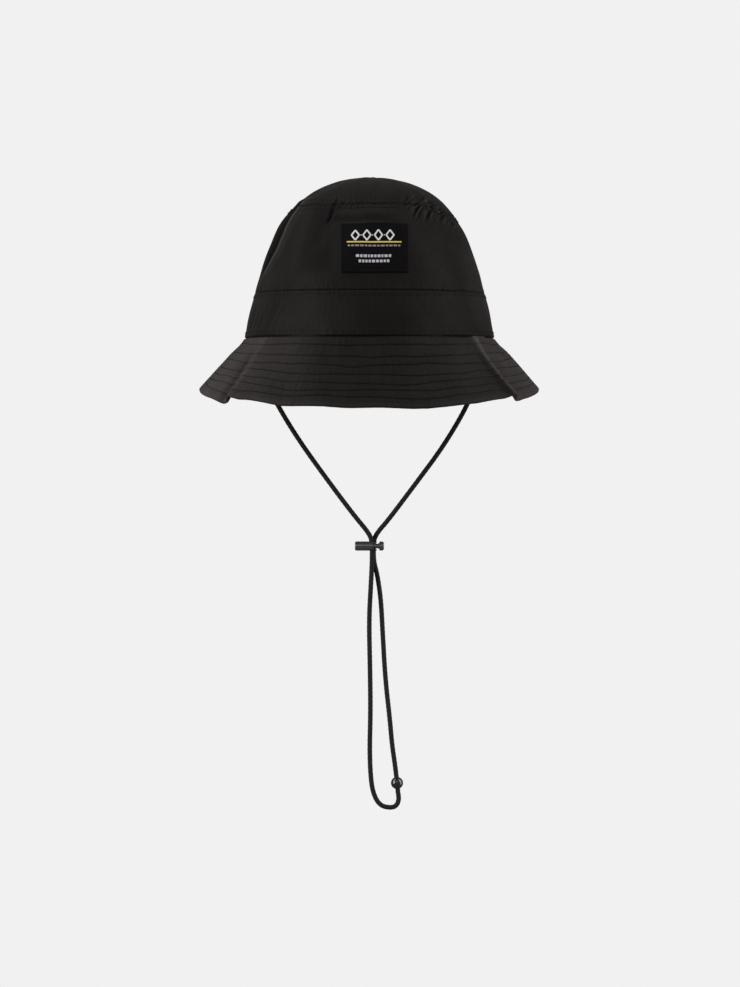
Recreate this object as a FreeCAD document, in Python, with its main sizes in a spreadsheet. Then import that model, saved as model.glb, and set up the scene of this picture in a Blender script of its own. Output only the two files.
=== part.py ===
import FreeCAD, Part
import math
import os

import Sketcher
from FreeCAD import Placement, Rotation, Vector

# A bucket hat with a chin cord, a sprung cord lock and a bead.
# Frame: origin at the centre of the head opening, on the seam between crown and brim,
# +Z up through the crown, the front of the hat towards -Y. Millimetres.

SIZES = [
    # Crown profile: half the width of the outer cloth at each height above the brim seam.
    ("height_a", 0.0), ("width_a", 93.4),
    ("height_b", 17.5), ("width_b", 90.4),
    ("height_c", 33.0), ("width_c", 86.15),
    ("height_d", 50.0), ("width_d", 81.4),
    ("height_e", 65.0), ("width_e", 76.4),
    ("height_f", 80.0), ("width_f", 70.2),
    ("height_g", 90.0), ("width_g", 64.5),
    ("height_tip", 97.5), ("width_tip", 58.3),
    # The head opening is a little longer front to back than it is wide.
    ("depth_ratio", 1.0385),
    # The tip is the cap of an ellipsoid.
    ("crown_top", 120.0), ("dome_rise", 36.9), ("dome_width", 63.4),
    # Cloth, from the outside in: each layer starts a little inside the one before.
    ("cloth", 0.8), ("lining_start", 1.1), ("lining_cloth", 0.5),
    ("sweatband_start", 1.9), ("sweatband_cloth", 1.2),
    ("sweatband_low", 1.5), ("sweatband_high", 32.0), ("sweatband_slope", 0.2),
    # Brim: the edge's reach to the side and to the front, and how far it hangs there.
    ("brim_reach_side", 127.3), ("brim_reach_front", 119.0), ("brim_corner", 0.027),
    ("brim_drop_side", 39.6), ("brim_drop_front", 54.6), ("brim_drop_back", 47.5),
    ("front_flip", 3.0), ("back_flip", 4.0),
    ("interlining_start", 1.0), ("under_start", 2.0), ("interlining_margin", 0.03),
    # Woven label sewn on the front of the crown, just off centre.
    ("label_left", -20.8), ("label_width", 47.5), ("label_low", 45.1), ("label_rise", 35.5),
    ("label_gap", 0.15), ("label_cloth", 0.8),
    # Blank care label sewn inside at the back.
    ("care_width", 22.0), ("care_rise", 24.0), ("care_cloth", 0.4),
    ("care_low", 6.0), ("care_setback", 89.3), ("care_lean", 13.5),
    # Webbing tabs that hold the ends of the cord, below the sweatband.
    ("tab_centre", 89.5), ("tab_thick", 3.0), ("tab_width", 9.0), ("tab_rise", 6.3),
    ("tab_low", -4.8), ("tab_round", 0.8),
    # Chin cord.
    ("cord_diameter", 3.2),
    # Cord lock: a barrel along X, its cord hole up through it, a sprung plunger in its mouth.
    ("lock_height", -156.0), ("lock_left", -10.9), ("lock_right", 5.4),
    ("lock_rise", 6.9), ("lock_depth", 11.2), ("lock_round", 1.2),
    ("cavity_left", -9.6), ("cavity_rise", 4.6), ("cavity_depth", 9.4),
    ("hole_left", 0.3), ("hole_width", 4.4), ("hole_depth", 7.2),
    ("notch_left", 2.0),
    ("plunger_left", -5.0), ("plunger_rise", 4.2), ("plunger_depth", 9.0),
    ("plunger_hole", 6.2), ("button_left", 7.4), ("button_long", 3.5),
    ("button_rise", 6.8), ("button_depth", 10.4), ("button_round", 1.5),
    ("wire", 0.45), ("spring_radius", 1.6), ("spring_turns", 5.0), ("spring_gap", 0.1),
    # Bead on the right strand, just above the bottom of the loop.
    ("bead_radius", 4.6), ("bead_bore", 1.8),
    ("bead_across", 20.66), ("bead_height", -333.7), ("bead_lean", -5.645),
]

CROWN_STATIONS = ["a", "b", "c", "d", "e", "f", "g", "tip"]
BAND_STATIONS = CROWN_STATIONS[:3]
UPPER_STATIONS = CROWN_STATIONS[2:]
BRIM_SECTIONS = 17
WIDE = 400.0

# The chin cord's route, chosen point by point: from the left tab down to the lock, through
# it, round the loop, up through the bead and the lock again, and on to the right tab.
# The two strands lie one behind the other in the lock.
CORD_ROUTE = [
    (-89.0, 0.0, -7.0), (-83.6, 0.0, -19.0), (-73.5, 0.0, -41.0), (-55.5, 0.0, -72.0),
    (-32.0, -0.2, -104.5), (-9.5, -1.1, -133.5), (-0.4, -1.6, -145.0), (2.2, -1.65, -151.5),
    (2.3, -1.65, -160.5), (1.7, -1.65, -168.5), (0.2, -1.6, -183.0), (-0.9, -1.3, -211.0),
    (0.3, -0.9, -251.0), (0.6, -0.6, -282.0), (-0.2, -0.3, -307.0), (0.7, -0.1, -327.0),
    (2.5, 0.0, -341.0),
    (7.6, 0.0, -350.5), (15.5, 0.0, -352.4), (20.2, 0.0, -351.0), (22.2, 0.0, -346.2),
    (21.3, 0.0, -340.2), (19.6, 0.1, -323.0), (16.9, 0.3, -305.0), (15.3, 0.5, -286.0),
    (11.9, 0.9, -256.0), (9.9, 1.3, -221.0), (8.1, 1.6, -196.0), (5.4, 1.65, -177.0),
    (3.1, 1.65, -168.5), (2.7, 1.65, -160.5), (2.8, 1.65, -151.5), (5.4, 1.6, -145.3),
    (12.2, 1.1, -136.8), (33.0, 0.3, -109.5), (54.5, 0.0, -80.5), (73.5, 0.0, -48.0),
    (84.0, 0.0, -19.5), (89.0, 0.0, -7.0),
]
ARC_SHARE = 0.45


doc = FreeCAD.newDocument("BucketHat")
sheet = doc.addObject("Spreadsheet::Sheet", "Sizes")


def fill_sheet():
    for row, (alias, value) in enumerate(SIZES, start=1):
        sheet.set(f"A{row}", alias)
        sheet.set(f"B{row}", str(value))
        sheet.setAlias(f"B{row}", alias)
    doc.recompute()


def size(alias):
    return float(sheet.get(alias))


def cell(alias):
    return f"Sizes.{alias}"


def bind(item, **expressions):
    for name, expression in expressions.items():
        item.setExpression(name.replace("__", "."), expression)
    return item


# ---- basic shapes ------------------------------------------------------------------------

def box(name, x, y, z, length, width, height):
    item = doc.addObject("Part::Box", name)
    return bind(item, Length=length, Width=width, Height=height,
                Placement__Base__x=x, Placement__Base__y=y, Placement__Base__z=z)


def cut(name, base, tool):
    item = doc.addObject("Part::Cut", name)
    item.Base = base
    item.Tool = tool
    return item


def common(name, base, tool):
    item = doc.addObject("Part::Common", name)
    item.Base = base
    item.Tool = tool
    return item


def half_space(name, side):
    """A big box on the front (-1) or the back (+1) of the plane through both sides."""
    start = -WIDE if side < 0 else 0.0
    return box(name, str(-WIDE), str(start), str(-WIDE),
               str(2 * WIDE), str(WIDE), str(2 * WIDE))


# ---- crown -------------------------------------------------------------------------------

def ring(name, width, height, inset):
    """An oval level with the brim seam, longer front to back, drawn in by the inset."""
    item = doc.addObject("Part::Ellipse", name)
    item.Placement = Placement(Vector(), Rotation(Vector(0, 0, 1), 90))
    return bind(item, MinorRadius=f"{width} - ({inset})",
                MajorRadius=f"({width}) * Sizes.depth_ratio - ({inset})",
                Placement__Base__z=height)


def loft(name, rings):
    item = doc.addObject("Part::Loft", name)
    item.Sections = rings
    item.Solid = True
    item.Ruled = False
    return item


def profile(stations):
    return [(cell(f"width_{s}"), cell(f"height_{s}")) for s in stations]


def side_shell(name, levels, start, thickness):
    """The ring of cloth between two lofts through the same levels."""
    faces = []
    for which, inset in (("outer", start), ("inner", f"{start} + {thickness}")):
        rings = [ring(f"{name}_{which}_{i}", width, height, inset)
                 for i, (width, height) in enumerate(levels)]
        faces.append(loft(f"{name}_{which}", rings))
    return cut(f"{name}_ring", *faces)


def dome_shell(name, start, thickness):
    """The cap of the crown above the tip seam, between two ellipsoids."""
    faces = []
    for which, inset in (("outer", start), ("inner", f"{start} + {thickness}")):
        item = doc.addObject("Part::Ellipsoid", f"{name}_{which}")
        bind(item, Radius1=f"Sizes.dome_rise - ({inset})",
             Radius2=f"Sizes.dome_width - ({inset})",
             Radius3=f"Sizes.dome_width * Sizes.depth_ratio - ({inset})",
             Placement__Base__z="Sizes.crown_top - Sizes.dome_rise")
        faces.append(item)
    above = box(f"{name}_above", str(-WIDE / 2), str(-WIDE / 2), cell("height_tip"),
                str(WIDE), str(WIDE), str(WIDE))
    return common(f"{name}_cap", cut(f"{name}_hollow", *faces), above)


def make_crown():
    parts = {"crown_tip": dome_shell("crown_tip", "0", cell("cloth"))}
    panels = {"band": BAND_STATIONS, "upper_side": UPPER_STATIONS}
    for panel, stations in panels.items():
        shell = side_shell(panel, profile(stations), "0", cell("cloth"))
        for end, side in (("front", -1), ("back", 1)):
            node = f"{panel}_{end}"
            parts[node] = common(node, shell, half_space(f"{node}_half", side))
    return parts


def inner_band_levels():
    """The levels of the layers inside the band, which start just above the brim seam."""
    lowest = (f"{cell('width_a')} - Sizes.sweatband_slope", cell("sweatband_low"))
    return [lowest] + profile(BAND_STATIONS[1:])


def make_lining():
    layer = (cell("lining_start"), cell("lining_cloth"))
    return {"lining_band": side_shell("lining_band", inner_band_levels(), *layer),
            "lining_side": side_shell("lining_side", profile(UPPER_STATIONS), *layer),
            "lining_tip": dome_shell("lining_tip", *layer)}


def make_sweatband():
    highest = (f"{cell('width_c')} + Sizes.sweatband_slope", cell("sweatband_high"))
    levels = inner_band_levels()[:-1] + [highest]
    shell = side_shell("sweatband", levels, cell("sweatband_start"), cell("sweatband_cloth"))
    return {"sweatband": shell}


# ---- labels ------------------------------------------------------------------------------

def make_front_label():
    """A woven label that follows the front of the crown, just outside the cloth."""
    start = "-(Sizes.label_gap + Sizes.label_cloth)"
    shell = side_shell("label", profile(UPPER_STATIONS), start, cell("label_cloth"))
    window = box("label_window", cell("label_left"), str(-WIDE), cell("label_low"),
                 cell("label_width"), str(WIDE), cell("label_rise"))
    return {"front_label": common("front_label", shell, window)}


# ---- PartDesign helpers --------------------------------------------------------------------

def base_plane(body, role):
    return next(f for f in body.Origin.OriginFeatures if f.Role == role)


def sketch_on(body, name, role):
    sketch = body.newObject("Sketcher::SketchObject", name)
    sketch.AttachmentSupport = [(base_plane(body, role), "")]
    sketch.MapMode = "FlatFace"
    return sketch


def bind_constraint(sketch, name, constraint, expression):
    index = sketch.addConstraint(constraint)
    sketch.renameConstraint(index, name)
    sketch.setExpression(f"Constraints.{name}", expression)


def centred_rectangle(sketch, width, height):
    """A rectangle centred on the sketch's origin, its two sizes bound to the sheet."""
    corners = [Vector(-1, -1, 0), Vector(1, -1, 0), Vector(1, 1, 0), Vector(-1, 1, 0)]
    for start, end in zip(corners, corners[1:] + corners[:1]):
        sketch.addGeometry(Part.LineSegment(start, end), False)
    for line in range(4):
        sketch.addConstraint(Sketcher.Constraint("Coincident", line, 2, (line + 1) % 4, 1))
    for line, way in enumerate(("Horizontal", "Vertical", "Horizontal", "Vertical")):
        sketch.addConstraint(Sketcher.Constraint(way, line))
    sketch.addConstraint(Sketcher.Constraint("Symmetric", 0, 1, 1, 2, -1, 1))
    for name, line, expression in (("across", 0, width), ("upright", 1, height)):
        bind_constraint(sketch, name, Sketcher.Constraint("Distance", line, 2.0), expression)


def flat_piece(node, role, width, height, thickness, rounding=None):
    """A rectangle on one of the body's planes, padded evenly to both sides."""
    body = doc.addObject("PartDesign::Body", node)
    sketch = sketch_on(body, f"{node}_outline", role)
    centred_rectangle(sketch, width, height)
    pad = body.newObject("PartDesign::Pad", f"{node}_pad")
    pad.Profile = sketch
    pad.SideType = "Symmetric"
    bind(pad, Length=thickness)
    doc.recompute()
    if rounding:
        fillet = body.newObject("PartDesign::Fillet", f"{node}_rounded")
        fillet.Base = (pad, [f"Edge{i + 1}" for i in range(len(pad.Shape.Edges))])
        bind(fillet, Radius=rounding)
        body.Tip = fillet
    return body


def make_care_label():
    body = flat_piece("care_label", "XZ_Plane", cell("care_width"), cell("care_rise"),
                      cell("care_cloth"))
    bind(body, Placement__Base__y="Sizes.care_setback",
         Placement__Base__z="Sizes.care_low + Sizes.care_rise / 2")
    body.Placement.Rotation = Rotation(Vector(1, 0, 0), size("care_lean"))
    return {"care_label": body}


def make_tabs():
    parts = {}
    for name, side in (("left", -1), ("right", 1)):
        node = f"cord_tab_{name}"
        body = flat_piece(node, "YZ_Plane", cell("tab_width"), cell("tab_rise"),
                          cell("tab_thick"), cell("tab_round"))
        bind(body, Placement__Base__x=f"{side} * Sizes.tab_centre",
             Placement__Base__z="Sizes.tab_low + Sizes.tab_rise / 2")
        parts[node] = body
    return parts


# ---- brim ----------------------------------------------------------------------------------

def brim_seam(angle):
    """The brim's inner edge: the oval where it is sewn to the crown."""
    width = size("width_a")
    return Vector(width * math.cos(angle), width * size("depth_ratio") * math.sin(angle), 0)


def brim_edge(angle):
    """The brim's outer edge: it flips up at the sides and hangs lowest at the front."""
    bulge = 1 + size("brim_corner") * math.sin(2 * angle) ** 2
    end = "front" if math.sin(angle) < 0 else "back"
    low = size(f"brim_drop_{end}")
    lift = (low - size("brim_drop_side")) * abs(math.cos(angle)) ** size(f"{end}_flip")
    return Vector(size("brim_reach_side") * bulge * math.cos(angle),
                  size("brim_reach_front") * bulge * math.sin(angle), lift - low)


def brim_section(angle, start, thickness, margin):
    """Four corners of one layer, in the upright plane through the brim at this angle."""
    seam = brim_seam(angle)
    slope = brim_edge(angle) - seam
    run = Vector(slope.x, slope.y, 0)
    inward = Vector(run).normalize() * slope.z - Vector(0, 0, run.Length)
    inward.normalize()
    near = seam + slope * margin
    far = seam + slope * (1 - margin)
    corners = [near + inward * start, far + inward * start,
               far + inward * (start + thickness), near + inward * (start + thickness)]
    return Part.makePolygon(corners + corners[:1])


def brim_layer(node, first_angle, start, thickness, margin):
    step = math.pi / (BRIM_SECTIONS - 1)
    sections = [brim_section(first_angle + step * i, start, thickness, margin)
                for i in range(BRIM_SECTIONS)]
    item = doc.addObject("Part::Feature", node)
    item.Shape = Part.makeLoft(sections, True, False)
    item.Placement = Placement()
    return item


def make_brim():
    layers = {"brim_top": (0.0, 0.0),
              "brim_interlining": (size("interlining_start"), size("interlining_margin")),
              "brim_under": (size("under_start"), 0.0)}
    parts = {}
    for layer, (start, margin) in layers.items():
        for end, first_angle in (("front", math.pi), ("back", 0.0)):
            node = f"{layer}_{end}"
            parts[node] = brim_layer(node, first_angle, start, size("cloth"), margin)
    return parts


# ---- chin cord -----------------------------------------------------------------------------

def cord_path(points):
    """Straight runs joined by tangent arcs, each as large as its two runs allow."""
    edges = []
    radii = []
    last = points[0]
    for before, corner, after in zip(points, points[1:], points[2:]):
        run_in = corner - before
        run_out = after - corner
        turn = run_in.getAngle(run_out)
        reach = ARC_SHARE * min(run_in.Length, run_out.Length)
        radius = reach / math.tan(turn / 2)
        way_in = Vector(run_in).normalize()
        way_out = Vector(run_out).normalize()
        start = corner - way_in * reach
        end = corner + way_out * reach
        inside = Vector(way_out - way_in).normalize()
        middle = corner + inside * (radius / math.cos(turn / 2) - radius)
        edges.append(Part.LineSegment(last, start).toShape())
        edges.append(Part.Arc(start, middle, end).toShape())
        radii.append(radius)
        last = end
    edges.append(Part.LineSegment(last, points[-1]).toShape())
    return Part.Wire(edges), radii


def make_cord():
    points = [Vector(*p) for p in CORD_ROUTE]
    path, radii = cord_path(points)
    radius = size("cord_diameter") / 2
    way = (points[1] - points[0]).normalize()
    section = Part.Wire(Part.makeCircle(radius, points[0], way))
    item = doc.addObject("Part::Feature", "chin_cord")
    item.Shape = Part.Wire(path).makePipeShell([section], True, False)
    item.Placement = Placement()
    expected = math.pi * radius ** 2 * path.Length
    print("cord length", round(path.Length, 1), "radii", [round(r, 1) for r in radii])
    print("cord volume ratio", round(item.Shape.Volume / expected, 4))
    return {"chin_cord": item}


# ---- cord lock -------------------------------------------------------------------------------

def slot_bar(name, left, length, rise, depth):
    """A bar along X whose section is a slot shape: flat above and below, round in front."""
    straight = box(f"{name}_middle", left, f"({rise} - {depth}) / 2",
                   f"Sizes.lock_height - {rise} / 2", length, f"{depth} - {rise}", rise)
    ends = [straight]
    for side in (-1, 1):
        end = doc.addObject("Part::Cylinder", f"{name}_end_{'front' if side < 0 else 'back'}")
        end.Placement.Rotation = Rotation(Vector(0, 1, 0), 90)
        bind(end, Radius=f"{rise} / 2", Height=length, Placement__Base__x=left,
             Placement__Base__y=f"{side} * ({depth} - {rise}) / 2",
             Placement__Base__z=cell("lock_height"))
        ends.append(end)
    bar = doc.addObject("Part::MultiFuse", name)
    bar.Shapes = ends
    bar.Refine = True
    return bar


def rounded_end(name, base, at_x, radius):
    """The base with the edges round its flat end at this X rounded over."""
    doc.recompute()
    item = doc.addObject("Part::Fillet", name)
    item.Base = base
    item.Edges = [(i + 1, radius, radius) for i, edge in enumerate(base.Shape.Edges)
                  if all(abs(v.Point.x - at_x) < 1e-6 for v in edge.Vertexes)]
    return item


def make_lock_barrel():
    outside = slot_bar("barrel_outside", cell("lock_left"), "Sizes.lock_right - Sizes.lock_left",
                       cell("lock_rise"), cell("lock_depth"))
    rounded = rounded_end("barrel_rounded", outside, size("lock_left"), size("lock_round"))
    cavity = slot_bar("barrel_cavity", cell("cavity_left"),
                      "Sizes.lock_right - Sizes.cavity_left + 1",
                      cell("cavity_rise"), cell("cavity_depth"))
    hole = box("barrel_hole", cell("hole_left"), "-Sizes.hole_depth / 2",
               "Sizes.lock_height - Sizes.lock_rise", cell("hole_width"),
               cell("hole_depth"), "2 * Sizes.lock_rise")
    notch = doc.addObject("Part::Cylinder", "barrel_notch")
    notch.Placement.Rotation = Rotation(Vector(1, 0, 0), 90)
    bind(notch, Radius="Sizes.cavity_rise / 2", Height="2 * Sizes.lock_depth",
         Placement__Base__x="Sizes.notch_left + Sizes.cavity_rise / 2",
         Placement__Base__y="Sizes.lock_depth", Placement__Base__z=cell("lock_height"))
    mouth = box("barrel_mouth", "Sizes.notch_left + Sizes.cavity_rise / 2",
                "-Sizes.lock_depth", "Sizes.lock_height - Sizes.cavity_rise / 2",
                "Sizes.lock_right", "2 * Sizes.lock_depth", cell("cavity_rise"))
    hollow = cut("barrel_hollow", rounded, cavity)
    with_hole = cut("barrel_with_hole", hollow, hole)
    with_notch = cut("barrel_with_notch", with_hole, notch)
    return {"lock_barrel": cut("lock_barrel", with_notch, mouth)}


def make_lock_plunger():
    stem = slot_bar("plunger_stem", cell("plunger_left"),
                    "Sizes.button_left - Sizes.plunger_left + 0.5",
                    cell("plunger_rise"), cell("plunger_depth"))
    hole = box("plunger_opening", cell("hole_left"), "-Sizes.hole_depth / 2",
               "Sizes.lock_height - Sizes.lock_rise", cell("plunger_hole"),
               cell("hole_depth"), "2 * Sizes.lock_rise")
    button = slot_bar("plunger_button", cell("button_left"), cell("button_long"),
                      cell("button_rise"), cell("button_depth"))
    far_end = size("button_left") + size("button_long")
    domed = rounded_end("plunger_domed", button, far_end, size("button_round"))
    item = doc.addObject("Part::Fuse", "lock_plunger")
    item.Base = cut("plunger_cut", stem, hole)
    item.Tool = domed
    item.Refine = True
    return {"lock_plunger": item}


def make_lock_spring():
    """A coil of wire along X between the closed end of the barrel and the plunger."""
    room = size("plunger_left") - size("cavity_left")
    wire = size("wire")
    length = room - wire - 2 * size("spring_gap")
    helix = doc.addObject("Part::Helix", "spring_path")
    helix.Pitch = length / size("spring_turns")
    helix.Height = length
    bind(helix, Radius=cell("spring_radius"))
    section = doc.addObject("Part::Circle", "spring_wire")
    section.Placement = Placement(Vector(size("spring_radius"), 0, 0),
                                  Rotation(Vector(1, 0, 0), 90))
    bind(section, Radius="Sizes.wire / 2")
    doc.recompute()
    sweep = doc.addObject("Part::Sweep", "lock_spring")
    sweep.Sections = [section]
    sweep.Spine = (helix, ["Edge1"])
    sweep.Solid = True
    sweep.Frenet = True
    start = size("cavity_left") + size("spring_gap") + wire / 2
    sweep.Placement = Placement(Vector(start, 0, size("lock_height")),
                                Rotation(Vector(0, 1, 0), 90))
    return {"lock_spring": sweep}


# ---- bead ----------------------------------------------------------------------------------

def make_bead():
    """A ball turned about its own bore."""
    body = doc.addObject("PartDesign::Body", "cord_bead")
    sketch = sketch_on(body, "bead_profile", "XZ_Plane")
    radius = size("bead_radius")
    bore = size("bead_bore")
    half = math.sqrt(radius ** 2 - bore ** 2)
    tilt = math.asin(half / radius)
    circle = Part.Circle(Vector(0, 0, 0), Vector(0, 0, 1), radius)
    sketch.addGeometry(Part.ArcOfCircle(circle, -tilt, tilt), False)
    sketch.addGeometry(Part.LineSegment(Vector(bore, half, 0), Vector(bore, -half, 0)), False)
    sketch.addConstraint(Sketcher.Constraint("Coincident", 0, 3, -1, 1))
    sketch.addConstraint(Sketcher.Constraint("Coincident", 0, 2, 1, 1))
    sketch.addConstraint(Sketcher.Constraint("Coincident", 0, 1, 1, 2))
    sketch.addConstraint(Sketcher.Constraint("Vertical", 1))
    outside = Sketcher.Constraint("Radius", 0, radius)
    inside = Sketcher.Constraint("DistanceX", -1, 1, 1, 1, bore)
    bind_constraint(sketch, "outside", outside, cell("bead_radius"))
    bind_constraint(sketch, "bore", inside, cell("bead_bore"))
    turned = body.newObject("PartDesign::Revolution", "bead_turned")
    turned.Profile = sketch
    turned.ReferenceAxis = (sketch, ["V_Axis"])
    turned.Angle = 360
    body.Placement.Rotation = Rotation(Vector(0, 1, 0), size("bead_lean"))
    bind(body, Placement__Base__x=cell("bead_across"), Placement__Base__z=cell("bead_height"))
    return {"cord_bead": body}


# ---- whole hat -------------------------------------------------------------------------------

def check(parts):
    for item in doc.Objects:
        if "Invalid" in item.State or "Error" in item.State:
            raise RuntimeError(f"{item.Name} failed: {item.State}")
    for node, item in parts.items():
        shape = item.Shape
        if shape.isNull() or not shape.isValid() or not shape.Solids:
            raise RuntimeError(f"{node} has no valid solid")
        print(node, "solids", len(shape.Solids), "volume", round(shape.Volume, 1))


def write(parts):
    os.makedirs("parts", exist_ok=True)
    for node, item in parts.items():
        item.Shape.exportStep(f"parts/{node}.step")


def main():
    fill_sheet()
    parts = {}
    makers = (make_crown, make_lining, make_sweatband, make_front_label, make_care_label,
              make_tabs, make_brim, make_cord, make_lock_barrel, make_lock_plunger,
              make_lock_spring, make_bead)
    for make in makers:
        parts.update(make())
    for node, item in parts.items():
        item.Label = node
    doc.recompute()
    check(parts)
    write(parts)


main()
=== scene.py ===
import math

import bpy
import numpy as np
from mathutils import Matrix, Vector


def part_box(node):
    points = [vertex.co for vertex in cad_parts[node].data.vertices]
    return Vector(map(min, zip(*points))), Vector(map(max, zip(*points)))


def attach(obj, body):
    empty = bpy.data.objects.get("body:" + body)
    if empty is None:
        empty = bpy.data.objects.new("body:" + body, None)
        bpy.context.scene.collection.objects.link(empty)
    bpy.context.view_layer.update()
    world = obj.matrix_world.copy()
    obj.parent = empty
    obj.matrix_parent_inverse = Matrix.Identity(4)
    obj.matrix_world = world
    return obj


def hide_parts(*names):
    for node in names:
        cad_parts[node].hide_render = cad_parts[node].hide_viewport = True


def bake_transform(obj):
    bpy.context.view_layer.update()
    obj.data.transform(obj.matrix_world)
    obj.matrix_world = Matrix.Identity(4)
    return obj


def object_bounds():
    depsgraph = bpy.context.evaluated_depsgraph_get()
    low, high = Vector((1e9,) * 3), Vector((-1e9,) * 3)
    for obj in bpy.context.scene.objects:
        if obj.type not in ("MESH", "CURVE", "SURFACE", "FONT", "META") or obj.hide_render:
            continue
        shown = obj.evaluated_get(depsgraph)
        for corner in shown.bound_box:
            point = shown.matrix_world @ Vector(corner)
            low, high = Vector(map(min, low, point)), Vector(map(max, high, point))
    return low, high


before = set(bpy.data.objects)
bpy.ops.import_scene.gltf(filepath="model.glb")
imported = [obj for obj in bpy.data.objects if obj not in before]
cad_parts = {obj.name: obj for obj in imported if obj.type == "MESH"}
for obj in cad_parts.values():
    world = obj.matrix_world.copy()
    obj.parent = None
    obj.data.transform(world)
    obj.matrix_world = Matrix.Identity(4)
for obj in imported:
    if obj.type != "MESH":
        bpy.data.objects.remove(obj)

# A bucket hat with a chin cord, made of cloth panels round one shared crown surface and one
# shared brim surface. Lengths are in millimetres until a mesh is made. Angles run round the
# hat from its front: negative to the left, 90 degrees at the right side, 180 at the back.

MM = 0.001
cad_low, cad_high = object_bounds()


def cad_box(node):
    """The lowest and highest corner of a CAD node, in millimetres."""
    low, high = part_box(node)
    return np.array(low) / MM, np.array(high) / MM


# ---- driving sizes, from the frame ----

BAND_LOW, BAND_HIGH = cad_box("band_front")
SIDE_HIGH = cad_box("upper_side_front")[1]
TIP_LOW, TIP_HIGH = cad_box("crown_tip")
BRIM_LOW, BRIM_HIGH = cad_box("brim_top_front")
BRIM_BACK_LOW = cad_box("brim_top_back")[0]
LABEL_LOW, LABEL_HIGH = cad_box("front_label")
BARREL_LOW, BARREL_HIGH = cad_box("lock_barrel")

HALF_WIDTH = BAND_HIGH[0]
DEPTH_RATIO = -BAND_LOW[1] / HALF_WIDTH
BAND_SEAM_Z = BAND_HIGH[2]
TIP_SEAM_Z = TIP_LOW[2]
CROWN_TOP = TIP_HIGH[2]
BRIM_SIDE = BRIM_HIGH[0] + 1.0
BRIM_FRONT = -BRIM_LOW[1]
EDGE_BACK_Z = BRIM_BACK_LOW[2] + 2.0
EDGE_SIDE_Z = -37.6
LOCK_Z = (BARREL_LOW[2] + BARREL_HIGH[2]) / 2

COLUMNS = 960
STITCH_PITCH = 2.5
STITCH_LENGTH = 1.75
THREAD = 0.24
BRIM_ROWS = (0.122, 0.283, 0.408, 0.543, 0.665, 0.772, 0.882)
BRIM_LENGTH = 57.0
BRIM_THICK = 2.6
HEM = 1.3
CLOTH_RADIUS = 90.0  # turns angles into cloth lengths on the crown
BRIM_RADIUS = 110.0  # and on the brim
EDGE_RADIUS = 118.0
FRONT_EDGE = [(-54, -46.4), (-50, -46.6), (-44, -47.6), (-37, -49.9), (-30, -52.3),
              (-23, -52.5), (-15, -52.9), (-7, -54.0), (4, -54.5), (14, -55.7), (19, -55.4),
              (25, -53.6), (30, -52.1), (37, -50.6), (43, -48.1), (48, -46.3), (54, -45.2)]
FLAP_EDGE = [(-90, EDGE_SIDE_Z), (-73, -43.0), (-64, -46.1), (-57, -48.7), (-53, -49.7),
             (53, -49.6), (56, -48.4), (61, -46.2), (69, -43.4), (82, -39.6),
             (90, EDGE_SIDE_Z)]
LEFT_CREASE = math.radians(-52.0)
RIGHT_CREASE = math.radians(54.2)
FLAP_JOINS = (-54.0, 54.2)


# ---- curves and noise ----

def smoothstep(x, low=0.0, high=1.0):
    f = np.clip((x - low) / (high - low), 0, 1)
    return f * f * (3 - 2 * f)


def bump(x, width):
    return np.exp(-(x / width) ** 2)


def window(x, low, high, soft):
    """1 between low and high, falling smoothly to 0 over the soft distance outside them."""
    return smoothstep(x, low - soft, low) * (1 - smoothstep(x, high, high + soft))


def ripple(angle, along, seed, around, waves, count=14):
    """Smooth noise of about unit size that closes on itself round the hat.

    around is the range of whole waves round the hat, and waves the range of wavelengths
    along the other way.
    """
    rng = np.random.default_rng(seed)
    total = 0
    for _ in range(count):
        turns = rng.integers(around[0], around[1] + 1)
        speed = 2 * math.pi / rng.uniform(*waves) * rng.choice((-1, 1))
        total = total + np.cos(turns * angle + speed * along + rng.uniform(0, 2 * math.pi))
    return total / math.sqrt(count / 2)


def turned_from_front(angle):
    """The same angle between -180 and 180 degrees, so the left side seam has one value."""
    return np.where(angle > math.pi, angle - 2 * math.pi, angle)


def waves(x, period, phase=0.0):
    return np.cos(x * 2 * math.pi / period + phase)


def whole_turn(count):
    """Angles once round the hat, from its left side back to it."""
    return np.linspace(-math.pi / 2, 1.5 * math.pi, count)


def unit(vectors):
    return vectors / np.linalg.norm(vectors, axis=-1, keepdims=True)


def distances(points):
    """How far along a line of points each of them lies."""
    steps = np.linalg.norm(np.diff(points, axis=0), axis=1)
    return np.concatenate([[0], np.cumsum(steps)])


def read_line(s, at, points):
    """The places at distances s along a line of points that lie at the distances at."""
    return np.stack([np.interp(s, at, column) for column in points.T], -1)


class Curve:
    """A smooth curve through points, measured along its chords."""

    def __init__(self, points):
        self.points = np.array(points, float)
        self.at = distances(self.points)
        self.length = self.at[-1]
        self.slopes = np.gradient(self.points, self.at, axis=0)

    def __call__(self, s):
        s = np.clip(s, 0, self.length)
        i = np.clip(np.searchsorted(self.at, s, side="right") - 1, 0, len(self.at) - 2)
        gap = (self.at[i + 1] - self.at[i])[..., None]
        f = (s - self.at[i])[..., None] / gap
        p, q = self.points[i], self.points[i + 1]
        m, n = self.slopes[i] * gap, self.slopes[i + 1] * gap
        return ((2 * f ** 3 - 3 * f ** 2 + 1) * p + (f ** 3 - 2 * f ** 2 + f) * m
                + (3 * f ** 2 - 2 * f ** 3) * q + (f ** 3 - f ** 2) * n)


def lerp_table(x, table):
    """Straight-line reading of a short table of (x, value) pairs in rising x."""
    xs, values = zip(*table)
    return np.interp(x, xs, values)


# ---- crown surface ----

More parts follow.
